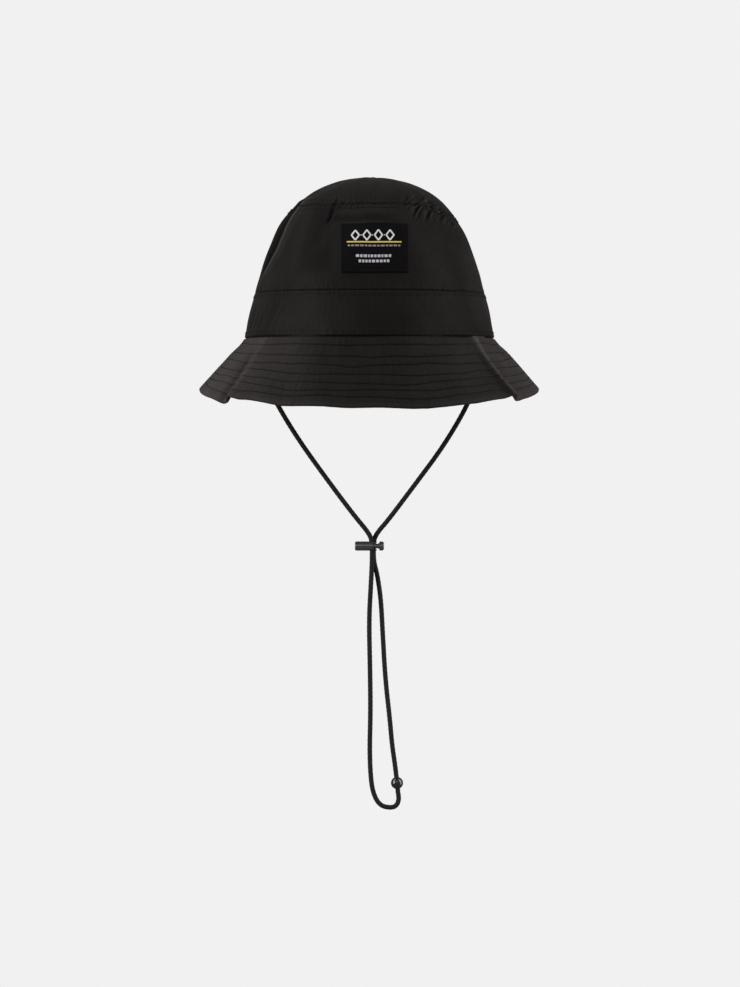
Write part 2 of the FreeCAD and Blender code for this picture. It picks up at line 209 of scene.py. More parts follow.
# Half width of the crown and height above the brim seam, from the seam to the top.
CROWN_PROFILE = Curve([
    (HALF_WIDTH, 0), (90.4, 17.5), (SIDE_HIGH[0], BAND_SEAM_Z), (81.4, 50), (76.4, 65),
    (70.2, 80), (64.5, 90), (58.3, TIP_SEAM_Z), (52.1, 103.5), (46.1, 108), (37.9, 112.5),
    (25.5, 117), (12.8, 119.4), (0, CROWN_TOP)])


def slant_at(height):
    """Distance along the crown's profile to a height."""
    s = np.linspace(0, CROWN_PROFILE.length, 2000)
    return float(np.interp(height, CROWN_PROFILE(s)[:, 1], s))


def crease_distance(angle, girth, z):
    """How far round, in millimetres, a point lies behind the long crease on the left."""
    crease = lerp_table(z, [(43.5, -76.5), (49.5, -71.3), (54, -68.8), (58.5, -66.8),
                            (63, -64.8), (67.5, -64.1), (72, -63.9), (76.5, -62.8),
                            (81, -62.4), (88, -61.8), (94.5, -62.4), (100, -64)])
    return (np.radians(crease) - angle) * girth


def gathers(angle, s, girth):
    """Short uneven puckers across the right end of the tip seam."""
    degrees = np.degrees(angle)
    below = TIP_SEAM - s
    slanted = angle * girth + 0.75 * below
    there = window(degrees, 32, 62, 9) * window(below, -6, 12, 6)
    uneven = 0.65 + 0.6 * np.sin(angle * 23 + 0.4) * np.cos(below / 5 + angle * 9)
    return there * uneven * (0.60 * waves(slanted, 6.6, 1.8 * np.sin(below / 4))
                             + 0.45 * waves(slanted, 4.1, 2.2 * np.cos(below / 6))
                             + 0.35 * waves(slanted, 11.3, -0.3 * below))


BAND_SEAM = slant_at(BAND_SEAM_Z)
TIP_SEAM = slant_at(TIP_SEAM_Z)
CROWN_END = CROWN_PROFILE.length
SIDE_SEAMS = (-math.pi / 2, math.pi / 2, 1.5 * math.pi)


def crown_frame(angle, s):
    """Point and outward normal of the plain crown."""
    here = CROWN_PROFILE(s)
    step = 0.5
    slope = unit(CROWN_PROFILE(s + step) - CROWN_PROFILE(s - step))
    r, z = here[..., 0], here[..., 1]
    point = np.stack([r * np.sin(angle), -DEPTH_RATIO * r * np.cos(angle), z], -1)
    normal = np.stack([DEPTH_RATIO * slope[..., 1] * np.sin(angle),
                       -slope[..., 1] * np.cos(angle), -DEPTH_RATIO * slope[..., 0]], -1)
    return point, unit(normal), r, z


def crown_folds(angle, s, r, z):
    """Folds and hollows that every layer of the crown follows."""
    degrees = np.degrees(turned_from_front(angle))
    girth = np.maximum(r, 20)
    shape = 0.30 * ripple(angle, s, 11, (2, 7), (70, 160))
    shape += 0.18 * ripple(angle, s, 12, (8, 18), (40, 90))
    # The crown leans a little to the right at its middle and is drawn in at the tip seam.
    shape += np.where(angle < 0, 0.6, 0.7) * np.sin(angle) * window(z, 50, 70, 14)
    shape -= 0.8 * bump(s - TIP_SEAM, 9)
    shape -= 1.2 * window(degrees, -125, -60, 30) * window(z, 106, 118, 4)
    # The long crease on the left: a sharp crest with the side tucked in behind it.
    behind = crease_distance(angle, girth, z)
    strength = window(z, 50, 99, 8)
    tuck = np.interp(behind, [-14, -5, -0.4, 0.5, 2.2, 5.0, 9.0, 13, 20],
                     [0, 0.3, 0.8, 0.6, -1.2, -2.4, -2.1, -0.6, 0])
    shape += strength * tuck
    # A small tuck that runs down from the tip seam beside the label, over a soft hollow.
    line = np.radians(lerp_table(z, [(73, -28.5), (80, -27.3), (87, -25.8), (98, -25.7)]))
    across = (angle - line) * girth
    shape += window(z, 86, 97, 6) * (0.8 * bump(across - 3.2, 2.2)
                                     - 1.9 * bump(across, 1.8))
    shape -= 1.3 * window(z, 70, 86, 10) * bump(across + 1.5, 6.0)
    # A hollow across the front just above the label.
    shape -= 1.2 * bump(z - 84, 2.0) * window(degrees, -16, 6, 9)
    shape += 0.5 * bump(z - 89, 3.0) * window(degrees, -18, 14, 8)
    # Gathered cloth along the right end of the tip seam.
    shape += gathers(angle, s, girth)
    # Drag lines at the left of the band.
    there = window(degrees, -74, -48, 9) * window(z, 5, 22, 6)
    slanted = angle * 90 - 0.45 * z
    shape += there * (0.26 * waves(slanted, 8.5, 0.8 * np.sin(z / 6))
                      + 0.16 * waves(slanted, 5.2, 1.0))
    return shape * smoothstep(CROWN_END - s, 0, 25)


def crown_detail(angle, s):
    """Seams, raised seam allowances and fine puckers of the outer cloth."""
    pucker = ripple(angle, s, 21, (60, 150), (9, 30), 20)
    shape = 0.018 * ripple(angle, s, 22, (120, 230), (25, 80), 24)
    groove = 0.75 - 0.35 * np.sin(angle) ** 4
    for seam, size in ((TIP_SEAM, 0.16), (BAND_SEAM, 0.08), (0.0, 0.08)):
        shape += size * pucker * bump(s - seam, 6.0)
        shape -= groove * bump(s - seam, 0.55)
    raised = 0.24 * window(s, TIP_SEAM - 5.0, TIP_SEAM - 0.4, 0.6)
    raised += 0.20 * window(s, BAND_SEAM - 3.6, BAND_SEAM - 0.4, 0.6)
    raised += 0.24 * window(s, 0.4, 4.4, 0.6)
    for seam in SIDE_SEAMS:
        raised -= 0.45 * bump((angle - seam) * 85, 0.6) * (s < TIP_SEAM)
    fade = smoothstep(CROWN_END - s, 0, 20)
    return (shape + raised) * fade


def seam_dip(angle, share):
    """The seams hang a little lower in the middle of the front."""
    return -2.0 * np.clip(np.cos(angle), 0, 1) ** 2 * np.clip(share, 0, 1)


def seam_drop(angle):
    """How much lower the tip seam runs at the right of the hat."""
    degrees = np.degrees(angle)
    return 9.0 * smoothstep(degrees, 36, 74) * (1 - smoothstep(degrees, 110, 160))


def crown_point(angle, s, offset=0.0, detail=1.0):
    angle, s = np.broadcast_arrays(angle, s)
    point, normal, r, z = crown_frame(angle, s - seam_drop(angle) * bump(s - TIP_SEAM, 24))
    out = crown_folds(angle, s, r, z) + offset
    if detail:
        out = out + detail * crown_detail(angle, s)
    point = point + normal * out[..., None]
    point[..., 2] += seam_dip(angle, 1 - s / 85)
    return point, normal


def crown_painted_light(angle, s):
    """Painted light and shade on the crown's cloth: painted highlights above 0, painted shade
    below 0.
    """
    angle, s = np.broadcast_arrays(angle, s)
    _, _, r, z = crown_frame(angle, s)
    degrees = np.degrees(turned_from_front(angle))
    girth = np.maximum(r, 20)
    behind = crease_distance(angle, girth, z)
    strength = window(z, 50, 98, 10)
    # A painted highlight on the left crease's crest, a faintly paler strip before it, and
    # painted shade in the fold behind it.
    painted_shade = smoothstep(behind, 0.3, 1.5) * smoothstep(degrees, -87, -74)
    painted_light_and_shade = strength * (0.55 * bump(behind + 1.3, 1.7) + 0.10 * window(behind, -9, -1, 3)
                       - 1.2 * painted_shade)
    # Painted shade on the crown to the left of the label.
    painted_light_and_shade -= 0.6 * window(degrees, -36, -25, 9) * window(z, 52, 92, 12)
    # Painted light on the right of the crown's lower half and on the left of the band.
    painted_light_and_shade += 0.08 * window(degrees, 64, 96, 14) * window(z, 14, 60, 12)
    painted_light_and_shade += 0.04 * window(degrees, -96, -66, 14) * window(z, 6, 46, 10)
    # Painted highlights on the crests of the gathers and painted shade in their troughs.
    puckered = gathers(angle, s, girth)
    painted_light_and_shade += np.where(puckered > 0, 0.45, 1.3) * puckered
    # Painted shade along the groove of each seam.
    for seam in (0.0, BAND_SEAM, TIP_SEAM):
        painted_light_and_shade -= 0.6 * bump(s - seam, 0.7)
    return painted_light_and_shade


# ---- brim surface ----

def brim_seam(angle):
    return np.stack([HALF_WIDTH * np.sin(angle), -DEPTH_RATIO * HALF_WIDTH * np.cos(angle),
                     seam_dip(angle, 1.0)], -1)


def flap_gap(angle):
    """How much lower a flap hangs than the front of the brim where they meet."""
    degrees = np.degrees(angle)
    gaps = [(lerp_table(join, FRONT_EDGE) - lerp_table(join, FLAP_EDGE))
            * np.exp(-np.abs(degrees - join) / 12) for join in FLAP_JOINS]
    return np.where(degrees < 0, *gaps)


def brim_edge(angle):
    """The outer edge: lowest at the front, flipped up at the sides."""
    bulge = 1 + 0.027 * np.sin(2 * angle) ** 2
    degrees = np.degrees(angle)
    front = lerp_table(degrees, FRONT_EDGE)
    flap = lerp_table(degrees, FLAP_EDGE) + flap_gap(angle)
    back = EDGE_BACK_Z + (EDGE_SIDE_Z - EDGE_BACK_Z) * np.abs(np.sin(angle)) ** 2.4
    z = np.where((angle < LEFT_CREASE) | (angle > RIGHT_CREASE), flap, front)
    z = np.where(np.cos(angle) < 0, back, z)
    return np.stack([BRIM_SIDE * bulge * np.sin(angle),
                     -BRIM_FRONT * bulge * np.cos(angle), z], -1)


def brim_base(angle, t):
    seam = brim_seam(angle)
    slope = brim_edge(angle) - seam
    return seam + slope * (t * (1 - HEM / BRIM_LENGTH))[..., None]


def brim_frame(angle, t):
    point = brim_base(angle, t)
    step = 0.004
    round_way = brim_base(angle + step, t) - brim_base(angle - step, t)
    down_way = brim_base(angle, t + step) - brim_base(angle, t - step)
    return point, unit(np.cross(down_way, round_way))


def brim_reach(t):
    """Millimetres round the brim for each radian, at a share t of its width."""
    return 95 + 25 * t


def lifted_edge(past, t):
    """The outermost cloth turns up where a crease reaches the edge."""
    return 1.4 * t ** 5 * smoothstep(-past, -2, 1.5) * bump(past, 8)


def brim_folds(angle, t):
    """The bow of the brim, its creases, flaps and slow waves."""
    facing = np.clip(np.cos(angle), 0, 1) ** 1.5
    shape = -4 * t * (1 - t) * (2.6 * facing + 1.2 * np.clip(-np.cos(angle), 0, 1))
    shape += t * (0.5 * ripple(angle, t, 31, (3, 8), (2, 6))
                  + 0.2 * ripple(angle, t, 32, (9, 20), (1, 3)))
    shape += np.sin(math.pi * np.clip(t, 0, 1)) * (0.3 * bump(angle - math.pi / 2, 0.3)
                                                   - 0.2 * bump(angle + math.pi / 2, 0.3))
    shape -= 0.8 * bump(t - 0.12, 0.12) * np.sin(angle) ** 4
    reach = brim_reach(t)
    # The crest on the right, wide at the seam and sharp below.
    past = (angle - RIGHT_CREASE) * reach
    started = smoothstep(t, -0.02, 0.05)
    shape += started * (0.4 + 0.6 * t) * 2.3 * np.exp(-np.abs(past) / 2.4)
    shape += 1.3 * (1 - smoothstep(t, 0.05, 0.42)) * window(past, 2, 16, 4)
    shape -= t * (bump(past + 10, 6) + 0.8 * bump(past - 9, 5))
    shape += lifted_edge(past, t)
    # The crest on the left, softer, with a hollow and a swell in the flap beyond it.
    past = (LEFT_CREASE - angle) * reach
    grown = smoothstep(t, 0.1, 0.55)
    shape += grown * 1.9 * np.exp(-np.abs(past) / 3.6)
    shape -= grown * 1.9 * bump(past - 11, 6.0) - 0.8 * t * bump(past - 27, 8)
    shape -= 0.8 * t * bump(past + 11, 7)
    return shape + lifted_edge(past, t)


def flap_drop(angle, t):
    """The side flaps hang a little lower than the front where they leave it."""
    past = np.where(angle < 0, LEFT_CREASE - angle, angle - RIGHT_CREASE) * EDGE_RADIUS
    share = smoothstep(past, -1.6, 2.2) * (np.cos(angle) > 0)
    return -flap_gap(angle) * share * np.clip(t, 0, 1) ** 3


def row_wave(angle, row):
    """How far a stitch row strays, as a share of the brim's width."""
    slow = ripple(angle, 0, 41 + row, (3, 9), (1, 2))
    return 0.008 * slow + 0.003 * ripple(angle, 0, 61 + row, (12, 30), (1, 2))


def brim_detail(angle, t):
    """Grooves along the stitch rows, the puffed cloth between them and its puckers."""
    along = t * BRIM_LENGTH
    shape = 0.015 * ripple(angle, along, 51, (130, 260), (14, 40), 24)
    calm = 1 - 0.65 * np.sin(angle) ** 4
    rows = [row + row_wave(angle, i) for i, row in enumerate(BRIM_ROWS)]
    edges = [0 * angle] + rows + [1 + 0 * angle]
    for i, (low, high) in enumerate(zip(edges, edges[1:])):
        inside = np.clip((t - low) / (high - low), 0, 1)
        puff = np.sin(math.pi * inside)
        shape += 0.20 * calm * puff
        shape += 0.06 * puff * ripple(angle, along, 71 + i, (70, 170), (10, 40), 16)
        if i:
            shape -= 0.38 * calm * bump((t - low) * BRIM_LENGTH, 0.5)
    shape -= 0.9 * bump(along, 0.8)
    for seam in SIDE_SEAMS:
        shape -= 0.4 * bump((angle - seam) * BRIM_RADIUS, 0.7)
    return shape


def brim_painted_light(angle, t):
    """Painted light and shade on the brim's cloth: painted highlights above 0, painted shade
    below 0.
    """
    turned = turned_from_front(angle)
    ahead = 1 - smoothstep(np.abs(turned), 0.55 * math.pi, 0.9 * math.pi)
    reach = brim_reach(t)
    side = np.abs(np.sin(angle)) ** 2
    right = (turned - RIGHT_CREASE) * reach
    left = (LEFT_CREASE - turned) * reach
    # Painted light: paler towards the sides, round the left crease and over both flaps.
    painted_light_and_shade = 0.05 + 0.16 * side + 0 * t
    painted_light_and_shade += 0.15 * (1 - np.clip(np.abs(turned - LEFT_CREASE) / 0.55, 0, 1))
    painted_light_and_shade += 0.26 * smoothstep(right, -2, 3) * ahead
    painted_light_and_shade += 0.25 * smoothstep(left, -2, 6) * ahead
    # Painted shade beside the right crest and in the hollow beyond the left one, and a painted
    # highlight on each crest.
    painted_light_and_shade -= 0.25 * bump(right + 5.0, 2.5) * smoothstep(t, 0.1, 0.5)
    painted_light_and_shade += 0.85 * bump(right - 0.2, 1.9)
    painted_light_and_shade += 0.30 * bump(left - 0.5, 3.0) * smoothstep(t, 0.15, 0.6)
    painted_light_and_shade -= 0.35 * bump(left - 11, 5.0) * smoothstep(t, 0.1, 0.5)
    # A painted highlight along the rolled edge and painted shade at the crown seam.
    painted_light_and_shade += 0.12 * smoothstep(t, 0.93, 1.0)
    painted_light_and_shade -= 0.6 * bump(t * BRIM_LENGTH + 0.3, 0.9)
    # Painted shade along the grooves of the stitch rows, fainter on the sides.
    for i, row in enumerate(BRIM_ROWS):
        near = bump((t - row - row_wave(angle, i)) * BRIM_LENGTH, 0.5)
        painted_light_and_shade -= (0.30 - 0.22 * side) * near
    return painted_light_and_shade


TUCK_IN = 25.0  # millimetres inwards for each unit of t above the seam


def brim_point(angle, t, offset=0.0, detail=1.0):
    angle, t = np.broadcast_arrays(angle, t)
    point, normal = brim_frame(angle, t)
    out = brim_folds(angle, t) + offset + TUCK_IN * np.minimum(t, 0)
    if detail:
        out = out + detail * brim_detail(angle, t)
    point = point + normal * out[..., None]
    point[..., 2] += flap_drop(angle, t)
    return point, normal


# ---- meshes ----

def add_object(name, data):
    item = bpy.data.objects.new(name, data)
    bpy.context.scene.collection.objects.link(item)
    return item


def new_object(name, points, faces, uv, material):
    """A smooth mesh from points in millimetres. uv has one row per face corner, or is None."""
    mesh = bpy.data.meshes.new(name)
    mesh.from_pydata((np.asarray(points) * MM).tolist(), [], faces)
    if uv is not None:
        layer = mesh.uv_layers.new(name="cloth")
        layer.data.foreach_set("uv", np.asarray(uv, np.float32).ravel())
    mesh.materials.append(material)
    mesh.polygons.foreach_set("use_smooth", [True] * len(mesh.polygons))
    mesh.update()
    return add_object(name, mesh)


def grid_faces(rows, columns, wrap=False, first=0):
    last = columns if wrap else columns - 1
    j = np.arange(last)
    k = (j + 1) % columns
    faces = []
    for i in range(rows - 1):
        low, high = first + i * columns, first + (i + 1) * columns
        faces.append(np.stack([low + j, low + k, high + k, high + j], 1))
    return np.concatenate(faces)


def grid_object(name, points, across, along, material, wrap=False, cap=False):
    """A sheet from a grid of points [row, column]. across and along are its cloth
    coordinates in millimetres; cap closes the last row with a fan."""
    rows, columns = points.shape[:2]
    faces = grid_faces(rows, columns, wrap).tolist()
    flat = points.reshape(-1, 3)
    uv = np.stack([np.broadcast_to(across, (rows, columns)),
                   np.broadcast_to(along, (rows, columns))], -1).reshape(-1, 2)
    if cap:
        middle = len(flat)
        ring = (rows - 1) * columns
        flat = np.vstack([flat, flat[ring:].mean(0)])
        uv = np.vstack([uv, uv[ring:].mean(0)])
        faces += [[ring + j, ring + (j + 1) % columns, middle] for j in range(columns)]
    corners = uv[np.concatenate([np.array(f) for f in faces])] * MM
    return new_object(name, flat, faces, corners, material)


def store_painted_light(item, values):
    """Stores the painted light and shade of each point of a sheet, for its material."""
    layer = item.data.attributes.new("painted_light_and_shade", "FLOAT", "POINT")
    layer.data.foreach_set("value", np.asarray(values, np.float32).ravel())


def thicken(item, thickness):
    """Gives a sheet its thickness inwards, away from its outer face."""
    modifier = item.modifiers.new("thickness", "SOLIDIFY")
    modifier.thickness = thickness * MM
    modifier.offset = -1
    modifier.use_rim = True
    return item


def put(item, body, slot, *nodes):
    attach(item, body)
    if nodes:
        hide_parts(*nodes)
    return item


def fine_rows(low, high, coarse, spots, fine=0.28, reach=1.4):
    """Row positions from low to high, closer together near the given spots."""
    rows = [low]
    while rows[-1] < high - 1e-6:
        near = any(abs(rows[-1] - spot) < reach for spot in spots)
        step = fine if near else coarse
        following = [spot - reach for spot in spots if rows[-1] < spot - reach < rows[-1] + step]
        rows.append(min([rows[-1] + step, high] + following))
    return np.array(rows)


def panel_angles(end, columns=COLUMNS):
    """Angles across the front or the back half of the hat."""
    start = -math.pi / 2 if end == "front" else math.pi / 2
    return start + np.linspace(0, math.pi, columns // 2 + 1)


# ---- materials ----

class Nodes:
    """A small helper that builds a material's node tree."""

    def __init__(self, name):
        self.material = bpy.data.materials.new(name)
        self.material.use_nodes = True
        self.tree = self.material.node_tree
        self.shader = self.tree.nodes["Principled BSDF"]

    def node(self, kind, **settings):
        made = self.tree.nodes.new(kind)
        for key, value in settings.items():
            setattr(made, key, value)
        return made

    def feed(self, socket, value):
        if isinstance(value, bpy.types.NodeSocket):
            self.tree.links.new(value, socket)
        else:
            socket.default_value = value

    def math(self, operation, a, b=0.0):
        made = self.node("ShaderNodeMath", operation=operation)
        self.feed(made.inputs[0], a)
        self.feed(made.inputs[1], b)
        return made.outputs[0]

    def multiply_add(self, value, factor, addend):
        made = self.math("MULTIPLY_ADD", value, factor)
        made.node.inputs[2].default_value = addend
        return made

    def mix(self, factor, a, b):
        made = self.node("ShaderNodeMix", data_type="RGBA")
        self.feed(made.inputs[0], factor)
        self.feed(made.inputs[6], a)
        self.feed(made.inputs[7], b)
        return made.outputs[2]

    def cloth_axes(self):
        """The sheet's own coordinates, in millimetres across and along."""
        uv = self.node("ShaderNodeUVMap", uv_map="cloth")
        split = self.node("ShaderNodeSeparateXYZ")
        self.feed(split.inputs[0], uv.outputs[0])
        return [self.math("MULTIPLY", split.outputs[i], 1000.0) for i in (0, 1)]

    def wave(self, coordinate, period, phase=0.0):
        """0 to 1 and back once in each period."""
        turned = self.multiply_add(coordinate, 2 * math.pi / period, phase)
        return self.multiply_add(self.math("SINE", turned), 0.5, 0.5)

    def texture(self, place, scale, detail):
        made = self.node("ShaderNodeTexNoise")
        made.inputs["Scale"].default_value = scale
        made.inputs["Detail"].default_value = detail
        self.feed(made.inputs["Vector"], place)
        return made.outputs["Fac"]

    def noise(self, across, along, scale_across, scale_along, detail=2.0):
        """Noise in cloth coordinates, scale times to the millimetre each way."""
        joined = self.node("ShaderNodeCombineXYZ")
        self.feed(joined.inputs[0], self.math("MULTIPLY", across, scale_across))
        self.feed(joined.inputs[1], self.math("MULTIPLY", along, scale_along))
        return self.texture(joined.outputs[0], 1.0, detail)

    def fibres(self, scale):
        """Noise in a piece's own space, scale times to the metre."""
        return self.texture(self.node("ShaderNodeTexCoord").outputs["Object"], scale, 2.0)

    def weighted(self, *pairs):
        """The sum of pairs of a value and its weight."""
        total, *others = [self.math("MULTIPLY", *pair) for pair in pairs]
        for term in others:
            total = self.math("ADD", total, term)
        return total

    def bump(self, height, strength, distance):
        made = self.node("ShaderNodeBump")
        made.inputs["Strength"].default_value = strength
        made.inputs["Distance"].default_value = distance * MM
        self.feed(made.inputs["Height"], height)
        self.feed(self.shader.inputs["Normal"], made.outputs[0])

    def finish(self, color, roughness, **sockets):
        self.feed(self.shader.inputs["Base Color"], color)
        self.feed(self.shader.inputs["Roughness"], roughness)
        for name, value in sockets.items():
            self.shader.inputs[name.replace("_", " ")].default_value = value
        return self.material


def grey(level, warm=1.0):
    return (level * (1 + 0.085 * warm), level, level * (1 - 0.035 * warm), 1.0)


def warm_grey(level):
    return tuple(level * tint for tint in CLOTH_WARM) + (1.0,)


CLOTH_TONES = (0.0055, 0.0113)
CLOTH_WARM = (1.12, 1.0, 0.955)
CLOTH_SHEEN = 0.03
CLOTH_SPECULAR = 0.045
PAINTED_LIGHT_GAIN = 6.5  # how many times paler the cloth is at a full painted highlight
# The tone of full painted shade in folds and grooves.
PAINTED_SHADE_TONE = 0.0012


def ripstop_cloth():
    """Matte black plain weave with a fine raised grid and uneven upright yarns, painted paler
    for highlights and darker for shade from a stored attribute.
    """
    n = Nodes("ripstop_cloth")
    across, along = n.cloth_axes()
    grid_period = 1.55
    lines = [n.math("POWER", n.wave(axis, grid_period), 9.0) for axis in (across, along)]
    grid = n.math("MAXIMUM", *lines)
    yarns = n.math("MULTIPLY", n.wave(across, 0.52), n.wave(along, 0.52, 1.57))
    streaks = n.noise(across, along, 0.42, 0.035, 3.0)
    fine_streaks = n.noise(across, along, 1.7, 0.06, 2.0)
    blotches = n.noise(across, along, 0.035, 0.03, 3.0)
    tone = n.weighted((streaks, 0.35), (fine_streaks, 0.20), (blotches, 0.60), (grid, 0.16),
                      (yarns, 0.10))
    ramp = n.node("ShaderNodeMapRange")
    ramp.inputs["From Min"].default_value = 0.40
    ramp.inputs["From Max"].default_value = 0.90
    n.feed(ramp.inputs["Value"], tone)
    dark, light = CLOTH_TONES
    plain = n.mix(ramp.outputs[0], warm_grey(dark), warm_grey(light))
    # Painted light and shade: the weave's tone is mixed towards a paler copy where the stored
    # value is above 0, and towards the painted shade tone where it is below 0.
    painted_lit = n.mix(ramp.outputs[0], warm_grey(dark * PAINTED_LIGHT_GAIN), warm_grey(light * PAINTED_LIGHT_GAIN))
    painted_light_and_shade = n.node("ShaderNodeAttribute", attribute_name="painted_light_and_shade").outputs["Fac"]
    painted_shade = n.math("MULTIPLY", painted_light_and_shade, -1.0)
    color = n.mix(painted_shade, n.mix(painted_light_and_shade, plain, painted_lit), warm_grey(PAINTED_SHADE_TONE))
    n.bump(n.weighted((grid, 0.55), (yarns, 0.25), (fine_streaks, 0.4), (streaks, 0.3)),
           0.45, 0.18)
    roughness = n.multiply_add(streaks, 0.10, 0.45)
    return n.finish(color, roughness, Sheen_Weight=CLOTH_SHEEN, Sheen_Roughness=0.4,
                    Sheen_Tint=warm_grey(1.0), Specular_IOR_Level=CLOTH_SPECULAR,
                    Specular_Tint=warm_grey(1.0))


def plain_cloth(name, dark, light, period, sheen=0.15, warm=1.0, rough=0.8):
    """Plain woven cloth of one tone, such as a lining or a tape."""
    n = Nodes(name)
    across, along = n.cloth_axes()
    yarns = n.math("MULTIPLY", n.wave(across, period), n.wave(along, period, 1.57))
    streaks = n.noise(across, along, 0.5, 0.08)
    color = n.mix(n.weighted((yarns, 0.4), (streaks, 0.6)), grey(dark, warm),
                  grey(light, warm))
    n.bump(n.math("ADD", yarns, streaks), 0.4, 0.12)
    return n.finish(color, rough, Sheen_Weight=sheen)


def twill_cloth(name, dark, light, period=0.9, sheen=0.03, specular=0.12):
    """Diagonal ribs, as on a sweatband or a woven label."""
    n = Nodes(name)
    across, along = n.cloth_axes()
    ribs = n.wave(n.math("ADD", across, along), period)
    fibres = n.noise(across, along, 2.5, 2.5)
    color = n.mix(n.weighted((ribs, 0.5), (fibres, 0.5)), grey(dark, 0), grey(light, 0))
    n.bump(n.weighted((ribs, 1.0), (fibres, 0.5)), 0.5, 0.12)
    return n.finish(color, 0.72, Sheen_Weight=sheen, Specular_IOR_Level=specular)


def thread(name, color, rough=0.55, sheen=0.1, specular=0.5):
    """Twisted sewing or embroidery thread."""
    n = Nodes(name)
    fibres = n.fibres(2200.0)
    darker = tuple(0.6 * c for c in color[:3]) + (1.0,)
    n.bump(fibres, 0.4, 0.08)
    return n.finish(n.mix(fibres, darker, color), rough, Sheen_Weight=sheen,
                    Specular_IOR_Level=specular)


BRAID_BUNDLES = 5.0
BRAID_PITCH = 3.4


def braid():
    """Braided cord: two families of yarn bundles that cross."""
    n = Nodes("braided_cord")
    turn, along = n.cloth_axes()
    around = n.math("MULTIPLY", turn, BRAID_BUNDLES)
    families = [n.wave(n.math(way, around, along), BRAID_PITCH) for way in ("ADD", "SUBTRACT")]
    bundles = n.math("POWER", n.math("MAXIMUM", *families), 3.0)
    fibres = n.noise(turn, along, 9.0, 3.0)
    color = n.mix(n.weighted((bundles, 0.6), (fibres, 0.5)), grey(0.005), grey(0.024))
    n.bump(fibres, 0.5, 0.15)
    return n.finish(color, 0.62, Sheen_Weight=0.06, Specular_IOR_Level=0.12)


def moulded_plastic(name, level, rough, grain, coat=0.6):
    """Moulded plastic with a faint flow pattern and fine scuffs."""
    n = Nodes(name)
    color = n.mix(n.fibres(180.0), grey(level * 0.8), grey(level * 1.25))
    scuffs = n.fibres(1500.0)
    roughness = n.multiply_add(scuffs, 0.14, rough)
    n.bump(scuffs, grain, 0.05)
    return n.finish(color, roughness, Coat_Weight=coat, Coat_Roughness=0.12)


def spring_steel():
    n = Nodes("spring_steel")
    color = n.mix(n.fibres(900.0), grey(0.45, 0), grey(0.62, 0))
    return n.finish(color, 0.3, Metallic=1.0)


CLOTH = ripstop_cloth()
LINING = plain_cloth("taffeta_lining", 0.012, 0.030, 0.4, sheen=0.3, rough=0.6)
INTERLINING = plain_cloth("stiff_interlining", 0.35, 0.50, 0.8)
SWEATBAND = twill_cloth("twill_sweatband", 0.010, 0.026)
LABEL = twill_cloth("woven_label", 0.0020, 0.0062, 0.55, sheen=0.01, specular=0.03)
RIBBON = plain_cloth("care_ribbon", 0.55, 0.72, 0.35, warm=0.5)
WEBBING = twill_cloth("ribbed_tape", 0.012, 0.030, 1.1)
BLACK_THREAD = thread("black_thread", grey(0.0040, 0.3), sheen=0.02, specular=0.08)
WHITE_THREAD = thread("white_thread", (0.80, 0.79, 0.82, 1.0))
DIM_THREAD = thread("dim_thread", (0.30, 0.29, 0.32, 1.0))
PALE_THREAD = thread("pale_thread", (0.58, 0.55, 0.60, 1.0))
YELLOW_THREAD = thread("yellow_thread", (0.86, 0.66, 0.006, 1.0))
CORD = braid()
LOCK_PLASTIC = moulded_plastic("lock_plastic", 0.050, 0.24, 0.12, coat=0.8)
BEAD_PLASTIC = moulded_plastic("bead_plastic", 0.014, 0.16, 0.08, coat=0.8)
STEEL = spring_steel()


# ---- crown pieces ----

SEAM_SPOTS = (0.0, 3.6, BAND_SEAM - 2.8, BAND_SEAM, TIP_SEAM - 5.0, TIP_SEAM)


TIP_END = CROWN_END - 1.2
SHELL_THICK = 0.6
LINING_DEPTH = -1.4
LINING_THICK = 0.3


def crown_sheet(name, angle, s, material, offset=0.0, detail=1.0, tip=False):
    """A sheet that lies on the crown. A tip goes all round and closes over the top."""
    points, _ = crown_point(angle, s, offset, detail)
    if tip:
        return grid_object(name, points, points[..., 0], points[..., 1], material,
                           wrap=True, cap=True)
    return grid_object(name, points, angle * CLOTH_RADIUS, s, material)


def side_panel(node, end, low, high):
    angle, s = np.meshgrid(panel_angles(end), fine_rows(low, high, 0.95, SEAM_SPOTS))
    item = crown_sheet(f"{node}_cloth", angle, s, CLOTH)
    store_painted_light(item, crown_painted_light(angle, s))
    return put(thicken(item, SHELL_THICK), "hat", "shell_cloth", node)


def tip_angles(columns):
    return -math.pi / 2 + np.arange(columns) * 2 * math.pi / columns


def crown_tip():
    rows = fine_rows(TIP_SEAM, TIP_END, 1.0, SEAM_SPOTS)
    angle, s = np.meshgrid(tip_angles(COLUMNS), rows)
    item = crown_sheet("crown_tip_cloth", angle, s, CLOTH, tip=True)
    painted_light_and_shade = crown_painted_light(angle, s).ravel()
    store_painted_light(item, np.append(painted_light_and_shade, painted_light_and_shade[-1]))
    return put(thicken(item, SHELL_THICK), "hat", "shell_cloth", "crown_tip")


def inner_layer(node, low, high, offset, material, slot, thickness, step=2.5):
    """A plain ring of cloth inside the crown, facing the head."""
    rows = np.linspace(low, high, max(3, int((high - low) / step) + 1))
    angle, s = np.meshgrid(whole_turn(COLUMNS // 2 + 1), rows)
    item = crown_sheet(f"{node}_cloth", angle, s, material, offset, detail=0)
    return put(thicken(item, thickness), "hat", slot, node)


def lining_tip():
    angle, s = np.meshgrid(tip_angles(COLUMNS // 2), np.linspace(TIP_SEAM, TIP_END, 30))
    item = crown_sheet("lining_tip_cloth", angle, s, LINING, LINING_DEPTH, 0, tip=True)
    return put(thicken(item, LINING_THICK), "hat", "lining", "lining_tip")


# ---- brim pieces ----

